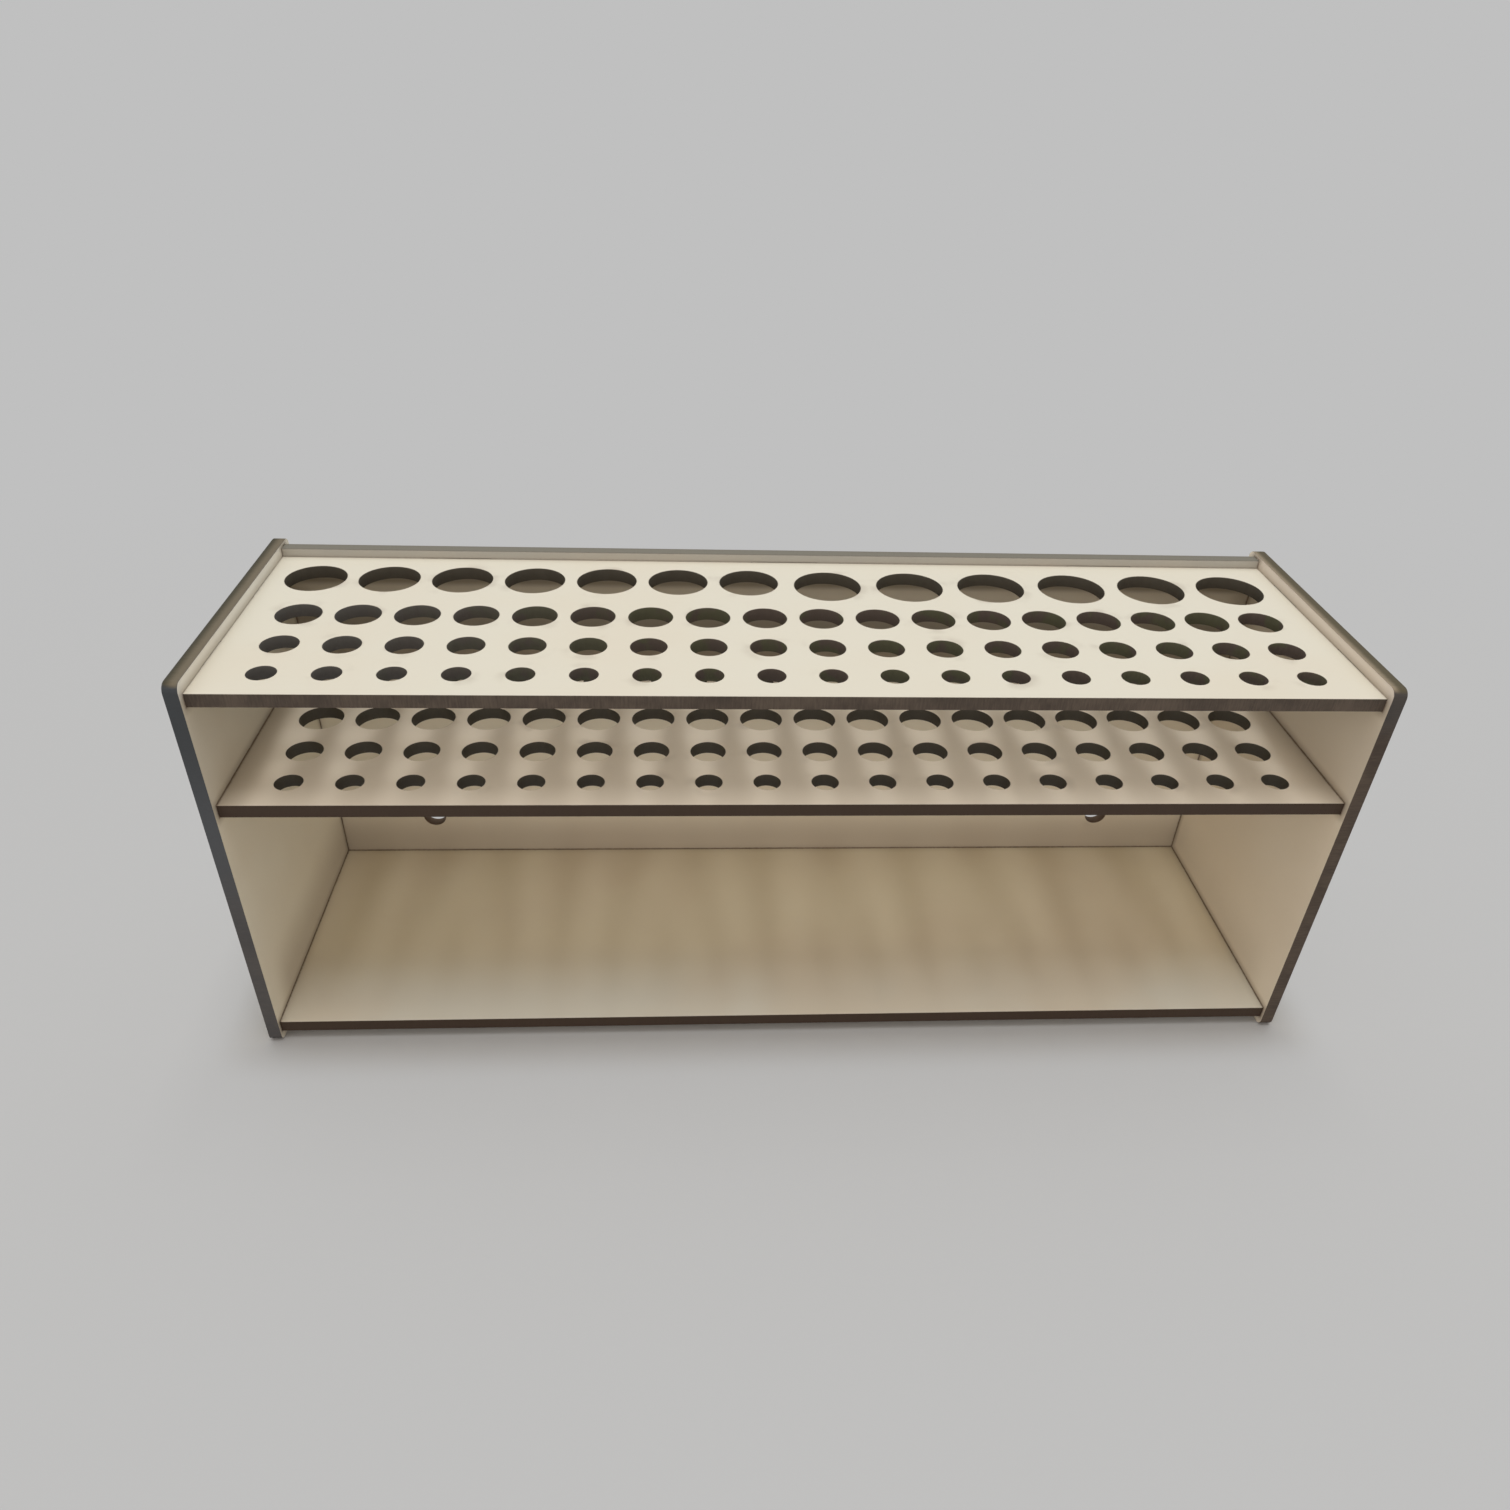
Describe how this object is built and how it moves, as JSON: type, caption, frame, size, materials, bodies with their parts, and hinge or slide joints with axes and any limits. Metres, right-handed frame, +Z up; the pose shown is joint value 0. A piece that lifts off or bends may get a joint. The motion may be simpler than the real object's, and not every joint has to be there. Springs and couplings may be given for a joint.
{
  "type": "paintbrush rack",
  "caption": "Open-fronted tabletop rack of pale laser-cut board, with two perforated shelves that hold paintbrushes upright and a solid bottom panel.",
  "frame": {"origin": "on the resting surface, under the middle of the rack's overall box", "axes": "+X along the rack to the right as seen from its open front, +Y from the front to the back panel, +Z up"},
  "size_m": [0.249, 0.0742, 0.0979],
  "materials": {
    "faced_board": "satin cream-white faces with charred dark brown laser-cut edges"
  },
  "bodies": {
    "root": {"left_side_panel": "faced_board", "right_side_panel": "faced_board", "back_panel": "faced_board", "bottom_panel": "faced_board", "upper_shelf": "faced_board", "lower_shelf": "faced_board"}
  },
  "joints": []
}
